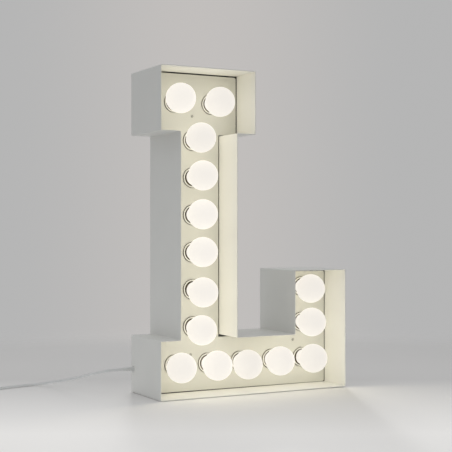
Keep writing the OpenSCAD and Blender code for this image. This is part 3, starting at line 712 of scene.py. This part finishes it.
# rows of loops from the front face to the rear: the outline and the holes, eased by a quarter circle at each
# face; the two faces are the triangles between the loops that lie in no hole
def addPanel():
    low, high = boxOf("lamp_panel")
    lamps = bulbRims[:, (0, 2)]
    angle = ringAngles(panel["sides"])
    circle = np.stack([np.cos(angle), np.sin(angle)], -1)
    turn = np.linspace(0, np.pi / 2, panel["edgeSteps"])
    inset, sink = panel["edge"] * (1 - np.sin(turn)), panel["edge"] * (1 - np.cos(turn))
    insets = np.append(inset, inset[::-1])
    depths = np.append(low[1] + sink, high[1] - sink[::-1])
    holes = lamps[None, :, None] + (panel["hole"] + insets)[:, None, None, None] * circle
    plan = np.concatenate([np.array([panelLoop(d) for d in insets]), holes.reshape(len(insets), -1, 2)], 1)
    count = plan.shape[1]
    outline = count - len(lamps) * panel["sides"]
    holeRows = outline + np.arange(count - outline).reshape(len(lamps), -1)
    after = np.concatenate([np.roll(np.arange(outline), -1), np.roll(holeRows, -1, 1).ravel()])
    here = np.arange(count)
    row = np.arange(len(insets) - 1)[:, None] * count
    walls = np.stack([row + here, row + after, row + count + after, row + count + here], -1).reshape(-1, 4)
    edges = np.stack([here, after], -1).tolist()
    _, _, cover, origin, _, _ = delaunay_2d_cdt(plan[0].tolist(), edges, [], 1, tiny)  # 1: inside only
    cover = np.array(origin)[:, 0][np.array(cover)]
    middles = plan[0][cover].mean(1)
    reach = np.linalg.norm(middles[:, None] - lamps[None], axis=2).min(1)
    cover = cover[reach > panel["hole"]]
    points = standUp(plan, depths[:, None]).reshape(-1, 3) * mm
    faces = walls.tolist() + cover.tolist() + (cover + count * (len(insets) - 1)).tolist()
    piece = addPiece("lampPanelSheet", points, faces, "letter", "panel_paint", panel["sharpAngle"])
    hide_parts("lamp_panel")


addPanel()
print("panel:", len(bulbJoints), "holes")


# Lampholders: a turned cup with a rounded rim and a deep mouth, measured out from the rim
holder = {
    "mouth": 17.0,
    "rim": 19.75,
    "seat": 14.6,
    "body": 19.0,
    "hub": 8.0,
    "bore": 4.0,
    "mouthDepth": 8.0,
    "rimDepth": 14.0,
    "bodyStart": 20.0,
    "bodyEnd": 42.0,
    "hubEnd": 46.5,
    "floorDepth": 31.0,
    "soft": [0.3, 0.3, 0.5, 0.8, 0.8, 1.0, 1.0, 0.6, 0.3, 0.5],  # radius at each corner, the rim's are 0.8
    "softSteps": 6,
    "sides": 64,
    "inShade": (-0.5, -1.0),  # no painted shade above the first depth, full painted shade below the second
}


# section of the cup as radius and distance out of the rim: from its floor over the rim to the hub behind
def holderProfile():
    h = holder
    corners = [
        (h["bore"], -h["floorDepth"]), (h["seat"], -h["floorDepth"]), (h["seat"], -h["mouthDepth"]),
        (h["mouth"], -h["mouthDepth"]), (h["mouth"], 0), (h["rim"], 0), (h["rim"], -h["rimDepth"]),
        (h["body"], -h["bodyStart"]), (h["body"], -h["bodyEnd"]), (h["hub"], -h["bodyEnd"]),
        (h["hub"], -h["hubEnd"]), (h["bore"], -h["hubEnd"]),
    ]
    return filletLine(corners, h["soft"], h["softSteps"])


def addHolders():
    profile = holderProfile()
    stacks = [turnedRings(profile, rim, (0, -1, 0), holder["sides"]) for rim in bulbRims]
    piece = addPiece("lampholderCups", *joinStacks(stacks), "letter", "holder_plastic")
    # painted shade on the cup more than a millimetre below its rim: in the hole's gap and deep in the mouth
    unshadedAt, dark = holder["inShade"]
    along = np.append(np.repeat(profile[:, 1], holder["sides"]), profile[(0, -1), 1])
    writeShare(piece, "inShade", np.tile(easeStep((along - unshadedAt) / (dark - unshadedAt)), len(stacks)))
    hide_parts("lampholders")


addHolders()
print("lampholders:", len(bulbJoints))


# Strain relief: a flange on the case and a taper with grooves that lets the lead bend
relief = {
    "bore": 2.7,
    "flange": 5.5,
    "flangeDepth": 2.0,
    "foot": 4.5,
    "tip": 3.45,
    "clip": [(4, -5.6), (4.7, -1.6), (4.0, -1.5), (4.0, 0)],  # radius and distance, behind the wall's face
    "soft": [0.05, 0.05, 0.05, 0.1, 0.5],
    "softSteps": 4,
    "grooves": 6,
    "grooveDepth": 0.45,
    "grooved": (0.06, 0.96),  # shares of the taper between which the grooves lie
    "taperRings": 97,
    "sides": 48,
}


# a clip behind the wall, the flange on it and the grooved taper, turned about the lead
def addRelief():
    r = relief
    low, high = boxOf("cord_gland")
    wall = boxOf("case_bar_left")[0][0]
    length = wall - low[0]
    base = (wall, (low[1] + high[1]) / 2, (low[2] + high[2]) / 2)
    flange = [(r["flange"], 0), (r["flange"], r["flangeDepth"]), (r["foot"], r["flangeDepth"])]
    collar = filletLine(r["clip"] + flange, r["soft"], r["softSteps"])
    taper = groovedTaper((r["foot"], r["tip"]), (r["flangeDepth"], length), r)
    profile = np.vstack([collar[:-1], taper, (r["bore"], length)])
    rings = turnedRings(profile, base, (-1, 0, 0), r["sides"])
    piece = addPiece("strainRelief", *joinStacks([rings]), "letter", "lead_plastic")
    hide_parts("cord_gland")
    return piece


strainRelief = addRelief()
print("strain relief:", relief["grooves"], "grooves")


# Inline switch: two rounded half shells with a seam, and a recess on top
switch = {
    "corner": 8.0,
    "leastCorner": 0.4,
    "floorFlat": 6.0,
    "floorEdge": 1.5,
    "topEdge": 3.2,
    "topFlat": 3.4,
    "seam": 0.4,
    "seamEdge": 0.15,
    "openingHalf": (10.0, 5.6),
    "openingCorner": 1.0,
    "lip": 1.0,
    "lipEdge": 0.5,
    "recess": 7.6,
    "edgeSteps": 8,
    "lipSteps": 6,
    "perCorner": 16,
}


# rows of half length, half width, corner radius and height, drawn in along a profile of inset and height
def shellRows(profile, halfX, halfY, corner):
    inset, z = profile[:, 0], profile[:, 1]
    radius = np.minimum(np.maximum(corner - inset, switch["leastCorner"]), min(halfX, halfY) - inset)
    return np.stack([halfX - inset, halfY - inset, radius, z], -1)


# each shell's profile is carried round a plan with round corners; the cover's goes on down the recess
def addSwitch():
    w = switch
    low, high = boxOf("switch_base")
    top = boxOf("switch_cover")[1][2]
    middle, seamZ = (low + high) / 2, high[2]
    halfX, halfY = (high - low)[:2] / 2
    base = filletLine([(w["floorFlat"], 0), (0, 0), (0, seamZ - w["seam"]), (w["seam"], seamZ)],
                      [w["floorEdge"], w["seamEdge"]], w["edgeSteps"])
    cover = filletLine([(w["seam"], seamZ), (0, seamZ + w["seam"]), (0, top), (w["topFlat"], top)],
                       [w["seamEdge"], w["topEdge"]], w["edgeSteps"])
    lip = filletLine([(-w["lip"], top), (0, top), (0, top - w["recess"])], w["lipEdge"], w["lipSteps"])
    baseRows = shellRows(base, halfX, halfY, w["corner"])
    coverRows = np.vstack([shellRows(cover, halfX, halfY, w["corner"]),
                           shellRows(lip, *w["openingHalf"], w["openingCorner"])])
    pieces = []
    for name, rows, node in (("switchBaseShell", baseRows, "switch_base"),
                             ("switchCoverShell", coverRows, "switch_cover")):
        rings = plateRings(rows, middle, w["perCorner"])
        piece = addPiece(name, *joinStacks([rings]), "letter", "switch_plastic")
        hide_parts(node)
        pieces.append(piece)
    return pieces


# Rocker: a low block with a ridged top, in the switch's recess
rocker = {
    "half": (9.0, 5.2),
    "corner": 1.2,
    "below": 1.6,
    "side": 2.6,
    "floorFlat": 4.0,
    "floorEdge": 0.4,
    "topFlat": 5.0,
    "topEdge": 0.7,
    "topStart": 0.3,
    "topRings": 10,
    "edgeSteps": 6,
    "crown": 0.9,
    "ridgeSoft": 0.1,
    "tilt": 7.0,
}


# the top rises on a hyperbola to a ridge across its middle, then the whole is tipped about its pins
def addRocker():
    k = rocker
    joint = [j for j in frame["joints"] if j["child"] == "rocker"][0]
    halfX, halfY = k["half"]
    bottom, side = -k["below"], k["side"]
    shell = filletLine([(k["floorFlat"], bottom), (0, bottom), (0, side), (k["topFlat"], side)],
                       [k["floorEdge"], k["topEdge"]], k["edgeSteps"])
    steps = np.linspace(k["topEdge"] + k["topStart"], k["topFlat"], k["topRings"])
    cap = np.stack([steps, np.full(len(steps), side)], -1)
    rows = shellRows(np.vstack([shell[:-1], cap]), halfX, halfY, k["corner"])
    rings = plateRings(rows, (0, 0), switch["perCorner"])
    ridge = k["crown"] * (1 - np.sqrt((rings[..., 0] / halfX) ** 2 + k["ridgeSoft"] ** 2))
    rings[..., 2] += np.where(rings[..., 2] > 0, ridge, 0)
    x, y, z = np.moveaxis(rings, -1, 0)
    c, s = math.cos(math.radians(k["tilt"])), math.sin(math.radians(k["tilt"]))
    rings = np.stack([x * c + z * s, y, z * c - x * s], -1) + np.array(joint["pos_m"]) / mm
    piece = addPiece("switchRocker", *joinStacks([rings]), "rocker", "rocker_plastic")
    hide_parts("switch_rocker")
    return piece


switchShells = addSwitch()
rockerPiece = addRocker()
print("switch: two shells and a rocker")


# Tie: a strap bent round the turns of the coil, its ends meeting on top
tie = {
    "sheet": 0.6,
    "bend": 2.6,
    "steps": 10,
    "edge": 0.25,
    "edgeSteps": 4,
}


# a thin rounded rectangle carried round a loop with four bends, square to it
def addTie():
    low, high = boxOf("coil_tie")
    half = tie["sheet"] / 2
    x0, x1, z0, z1 = low[0] + half, high[0] - half, low[2] + half, high[2] - half
    middleX = (x0 + x1) / 2
    corners = [(middleX, z1), (x1, z1), (x1, z0), (x0, z0), (x0, z1), (middleX, z1)]
    loop = filletLine(corners, tie["bend"], tie["steps"])
    ahead = unitRows(np.gradient(loop, axis=0))
    across = np.stack([ahead[:, 1], -ahead[:, 0]], -1)
    size = (half, (high[1] - low[1]) / 2, tie["edge"], 0)
    band = plateRings([size], (0, (low[1] + high[1]) / 2), tie["edgeSteps"])[0]
    plan = loop[:, None] + across[:, None] * band[None, :, :1]
    piece = addPiece("coilTie", *joinStacks([standUp(plan, band[:, 1])]), "letter", "tie_strap")
    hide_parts("coil_tie")
    return piece


coilTie = addTie()
print("tie round the coil")


# Plug: a round body with a notch at each side for the earth clips, and a grooved neck
plug = {
    "core": 3.0,
    "edge": 2.5,
    "face": 1.2,
    "edgeSteps": 9,
    "sideStart": 3.5,  # height of the first ring on the side, and how far under the face the last one is
    "sideStop": 1.4,
    "sideRings": 12,
    "sides": 144,
    "sharpAngle": 30,
    "notchDepth": 2.4,
    "notchHalf": 5.0,
    "notchStart": 6.0,
    "neckBore": 2.7,
    "neckTip": 4.2,
    "neckFoot": 5.8,
    "neckLength": 27.0,
    "neckSides": 48,
    "grooves": 6,
    "grooveDepth": 0.6,
    "grooved": (0.05, 0.9),
    "taperRings": 97,
    "pin": 2.4,
    "pinCore": 0.4,
    "pinSunk": 8.0,
    "pinSoft": (0.3, 1.7),
    "pinSteps": 8,
    "pinSides": 40,
    "pinPitch": 19.0,
    "clipHalf": 2.5,
    "clipSheet": 0.8,
    "clipEdge": 0.3,
    "clipSteps": 4,
    "clipRings": 9,
}


def plugPlace():
    low, high = boxOf("plug_body")
    radius = (high[1] - low[1]) / 2
    return low, high, np.array((high[0] - radius, (low[1] + high[1]) / 2, 0)), radius


# the body is turned, and at each side its radius stops at a flat; the neck is a grooved taper
def addPlugBody():
    g = plug
    low, high, middle, radius = plugPlace()
    corners = [(g["core"], 0), (radius, 0), (radius, high[2]), (g["core"], high[2])]
    ends = filletLine(corners, [g["edge"], g["face"]], g["edgeSteps"])
    split = g["edgeSteps"] + 1
    heights = np.linspace(g["sideStart"], high[2] - g["sideStop"], g["sideRings"])
    side = np.stack([np.full(len(heights), radius), heights], -1)
    rings = turnedRings(np.vstack([ends[:split], side, ends[split:]]), middle, (0, 0, 1), g["sides"])
    flat = radius - g["notchDepth"]
    x, y = rings[..., 0] - middle[0], rings[..., 1] - middle[1]
    notched = (np.abs(x) < g["notchHalf"]) & (rings[..., 2] > g["notchStart"])
    rings[..., 1] = np.where(notched, np.clip(y, -flat, flat), y) + middle[1]
    taper = groovedTaper((g["neckTip"], g["neckFoot"]), (0, g["neckLength"]), g)
    neck = np.vstack([(g["neckBore"], 0), taper])
    neckRings = turnedRings(neck, (low[0], middle[1], windPath[-1][2]), (1, 0, 0), g["neckSides"])
    points, faces = joinStacks([rings, neckRings])
    piece = addPiece("plugBody", points, faces, "letter", "switch_plastic", g["sharpAngle"])
    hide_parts("plug_body")
    return piece


# two turned pins with round tips, and a thin upright plate at each notch
def addPlugPins():
    g = plug
    _, high, middle, radius = plugPlace()
    footZ, tipZ = high[2] - g["pinSunk"], boxOf("plug_pins")[1][2]
    corners = [(g["pinCore"], footZ), (g["pin"], footZ), (g["pin"], tipZ), (g["pinCore"], tipZ)]
    profile = filletLine(corners, g["pinSoft"], g["pinSteps"])
    flat = radius - g["notchDepth"] + g["clipSheet"] / 2
    heights = np.linspace(g["notchStart"], high[2], g["clipRings"])
    rows = [(g["clipHalf"], g["clipSheet"] / 2, g["clipEdge"], z) for z in heights]
    pinPlaces = [middle + (0, side * g["pinPitch"] / 2, 0) for side in (-1, 1)]
    clipPlaces = [middle + (0, side * flat, 0) for side in (-1, 1)]
    stacks = [turnedRings(profile, place, (0, 0, 1), g["pinSides"]) for place in pinPlaces]
    stacks += [plateRings(rows, place, g["clipSteps"]) for place in clipPlaces]
    piece = addPiece("plugPins", *joinStacks(stacks), "letter", "pin_metal")
    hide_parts("plug_pins")
    return piece


plugBody = addPlugBody()
plugPins = addPlugPins()
print("plug: body, neck, pins and clips")


# Screws: a low domed head with a cross pressed into it, on a short shank
screws = {
    "panel": {"node": "panel_screws", "name": "panelScrewHeads", "slot": "dark_screw", "way": -1,
              "radius": 2.75, "rise": 1.8, "edge": 0.9, "shank": 1.4, "cross": 0.42, "depth": 0.8},
    "back": {"node": "back_plate_screws", "name": "backScrewHeads", "slot": "zinc_steel", "way": 1,
             "radius": 3.5, "rise": 2.0, "edge": 0.9, "shank": 1.65, "cross": 0.5, "depth": 0.9},
    "rings": 18,
    "sides": 64,
    "soft": 0.22,
    "crossReach": 0.58,  # share of the head's radius
    "apex": 0.02,
    "reach": 3.0,
    "stemDrop": 26,
    "barRise": 19,
    "riserShift": 20,
    "frameInset": 7,
}


# middles of the panel's screws, between the lamps, and of the back plate's, on the frame behind it
def screwPlaces():
    lamps = bulbRims[:, (0, 2)]
    panelPlaces = np.array([
        (lamps[0] + lamps[1]) / 2 - (0, screws["stemDrop"]),
        (lamps[8] + lamps[9]) / 2 + (0, screws["barRise"]),
        (lamps[12] + lamps[14]) / 2 - (screws["riserShift"], 0),
    ])
    corners = letterCorners(case["sheet"] + screws["frameInset"])
    outer = letterCorners(0)
    stemMiddle = (outer[2, 1] + outer[3, 1]) / 2
    onStem = [(corners[2, 0], stemMiddle), (corners[9, 0], stemMiddle)]
    return panelPlaces, np.vstack([corners[turnsOut(outer)], onStem])


# the head rises from its edge as an ellipse, less the cross: two bars with soft sides, pressed straight in
def screwRings(spec, place, faceY):
    shank = np.array([(spec["shank"], -screws["reach"]), (spec["shank"], 0), (spec["radius"], 0)])
    inward = np.sin(np.linspace(np.pi / 2, screws["apex"], screws["rings"]))
    dome = spec["edge"] + (spec["rise"] - spec["edge"]) * np.sqrt(np.clip(1 - inward ** 2, 0, 1))
    radius = np.append(shank[:, 0], spec["radius"] * inward)
    out = np.append(shank[:, 1], dome)
    angle = ringAngles(screws["sides"])
    x, z = radius[:, None] * np.cos(angle), radius[:, None] * np.sin(angle)
    narrow, wide = np.minimum(np.abs(x), np.abs(z)), np.maximum(np.abs(x), np.abs(z))
    pressed = (easeStep((spec["cross"] - narrow) / screws["soft"] + 0.5)
               * easeStep((spec["radius"] * screws["crossReach"] - wide) / screws["soft"] + 0.5))
    onDome = (np.arange(len(out)) >= len(shank))[:, None]
    out = out[:, None] - spec["depth"] * pressed * onDome
    return np.stack([place[0] + x, faceY + spec["way"] * out, place[1] + z], -1)


def addScrews():
    for spec, places in zip((screws["panel"], screws["back"]), screwPlaces()):
        low, high = boxOf(spec["node"])
        faceY = (low[1] if spec["way"] < 0 else high[1]) - spec["way"] * spec["rise"]
        stacks = [screwRings(spec, place, faceY) for place in places]
        piece = addPiece(spec["name"], *joinStacks(stacks), "letter", spec["slot"])
        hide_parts(spec["node"])
        print(spec["name"], len(places))


addScrews()


# Studio: a pale floor that brightens towards the viewer and fades into the backdrop, a soft sky, and for the
# floor alone a soft lamp and a low sun
studio = {
    "sky": (0.425, 0.435, 0.45),
    "skyRise": (0.82, 1.7),  # its strength at the level and overhead
    "backdrop": (0.466, 0.466, 0.466),
    "glow": (0.538, 0.518, 0.505),  # the backdrop behind the letter
    "glowAside": -0.02,
    "glowWidth": 0.19,
    "floorSeen": (0.563, 0.55, 0.535),
    "floorFar": (0.462, 0.451, 0.439),
    "floorDepth": (0.15, 1.0),  # metres past the letter's middle over which it gets darker
    "floorBounce": (0.85, 0.85, 0.85),  # what it gives back to the letter, near it and further off
    "bounceFar": (0.48, 0.48, 0.48),
    "bounceReach": (0.7, 1.3),
    "floorGloss": 0.0,
    "floorSize": 12.0,
    "sweep": (0.15, -0.48),  # metres ahead of the letter's middle, as the viewer looks
    "lift": (0.0, 0.315),
    "liftTone": (1.0, 0.985, 0.96),
    "fade": (1.5, 0.62),
    "lampPlace": (1.0, 2.2, 0.9),
    "lampAim": (0, 0, 0.3),
    "lampSize": 0.8,
    "lampPower": 22,
    "sunPower": 1.8,
    "sunRise": 11,  # degrees over the floor
    "sunAside": 4,  # degrees off the way that the viewer looks
    "sunSoft": 6,
}
viewYaw = math.radians(photoCamera["yaw"])
viewAhead = (math.sin(viewYaw), math.cos(viewYaw), 0)
viewRight = (math.cos(viewYaw), -math.sin(viewYaw), 0)


# 1 for rays that show the stage: from the camera, off metal or through glass
def seenRay(tree):
    path = tree.nodes.new("ShaderNodeLightPath")
    shiny = addMath(tree, "MAXIMUM", path.outputs["Is Glossy Ray"], path.outputs["Is Transmission Ray"])
    return addMath(tree, "MAXIMUM", path.outputs["Is Camera Ray"], shiny)


# how far a place or a way lies along a direction
def reachAlong(tree, place, way):
    node = tree.nodes.new("ShaderNodeVectorMath")
    node.operation = "DOT_PRODUCT"
    node.inputs[1].default_value = way
    tree.links.new(place, node.inputs[0])
    return node.outputs["Value"]


# the sky that lights the letter gets stronger overhead; what shows is the backdrop, with a glow behind it
def makeSky():
    world = bpy.data.worlds.new("studioSky")
    bpy.context.scene.world = world
    world.use_nodes = True
    tree = world.node_tree
    sky = tree.nodes["Background"]
    sky.inputs["Color"].default_value = (*studio["sky"], 1)
    where = tree.nodes.new("ShaderNodeTexCoord").outputs["Generated"]
    overhead = reachAlong(tree, where, (0, 0, 1))
    tree.links.new(mapTo(tree, overhead, (0, 1), studio["skyRise"]), sky.inputs["Strength"])
    shifted = addMath(tree, "SUBTRACT", reachAlong(tree, where, viewRight), studio["glowAside"])
    aside = addMath(tree, "ABSOLUTE", shifted, 0)
    ahead = addMath(tree, "GREATER_THAN", reachAlong(tree, where, viewAhead), 0)
    band = addMath(tree, "MULTIPLY", mapTo(tree, aside, (studio["glowWidth"], 0), (0, 1), True), ahead)
    seen = tree.nodes.new("ShaderNodeBackground")
    tree.links.new(mixTones(tree, band, studio["backdrop"], studio["glow"]), seen.inputs["Color"])
    pick = tree.nodes.new("ShaderNodeMixShader")
    tree.links.new(seenRay(tree), pick.inputs["Fac"])
    tree.links.new(sky.outputs["Background"], pick.inputs[1])
    tree.links.new(seen.outputs["Background"], pick.inputs[2])
    tree.links.new(pick.outputs["Shader"], tree.nodes["World Output"].inputs["Surface"])


# makes light linking read the collection as everything but this one thing
def leaveOut(collection, thing):
    collection.objects.link(thing)
    collection.collection_objects[0].light_linking.link_state = "EXCLUDE"


# the floor shows one tone to the camera and gives back another to the letter; far off it turns see-through
def makeFloor():
    half = studio["floorSize"] / 2
    mesh = bpy.data.meshes.new("studioFloor")
    corners = [(-half, -half, 0), (half, -half, 0), (half, half, 0), (-half, half, 0)]
    mesh.from_pydata(corners, [], [(0, 1, 2, 3)])
    floor = bpy.data.objects.new("studioFloor", mesh)
    bpy.context.scene.collection.objects.link(floor)
    onFloor.objects.link(floor)
    leaveOut(offFloor, floor)
    material, tree, shader, where = startFinish("studioFloor")
    shader.inputs["Specular IOR Level"].default_value = studio["floorGloss"]
    place = where.outputs["Object"]
    seen = seenRay(tree)
    reach = reachAlong(tree, place, viewAhead)
    far = mapTo(tree, reach, studio["floorDepth"], (0, 1), True)
    shown = mixTones(tree, far, studio["floorSeen"], studio["floorFar"])
    away = tree.nodes.new("ShaderNodeVectorMath")
    away.operation = "LENGTH"
    tree.links.new(place, away.inputs[0])
    around = mapTo(tree, away.outputs["Value"], studio["bounceReach"], (0, 1), True)
    bounce = mixTones(tree, around, studio["floorBounce"], studio["bounceFar"])
    tree.links.new(mixTones(tree, seen, bounce, shown), shader.inputs["Base Color"])
    lift = mapTo(tree, reach, studio["sweep"], studio["lift"])
    shader.inputs["Emission Color"].default_value = (*studio["liftTone"], 1)
    tree.links.new(addMath(tree, "MULTIPLY", lift, seen), shader.inputs["Emission Strength"])
    solid = mapTo(tree, away.outputs["Value"], studio["fade"], (0, 1), True)
    unseen = addMath(tree, "SUBTRACT", 1, seen)
    tree.links.new(addMath(tree, "MAXIMUM", solid, unseen), shader.inputs["Alpha"])
    mesh.materials.append(material)


def addLamp():
    light = addLight("softLamp", "AREA", studio["lampPower"], onFloor)
    light.data.size = studio["lampSize"]
    lookAlong(light, studio["lampPlace"], np.subtract(studio["lampAim"], studio["lampPlace"]))


# a low even light from behind, for the letter's shadow on the floor; the lead doesn't block it
def addSun():
    light = addLight("lowSun", "SUN", studio["sunPower"], onFloor)
    light.data.angle = math.radians(studio["sunSoft"])
    yaw = math.pi - viewYaw + math.radians(studio["sunAside"])
    light.rotation_euler = (math.radians(90 - studio["sunRise"]), 0, yaw)
    thinPieces = bpy.data.collections.new("thinPieces")
    leaveOut(thinPieces, leadCord)
    light.light_linking.blocker_collection = thinPieces


makeSky()
makeFloor()
addLamp()
addSun()
bpy.context.scene.view_settings.view_transform = "Standard"
print("studio lit")
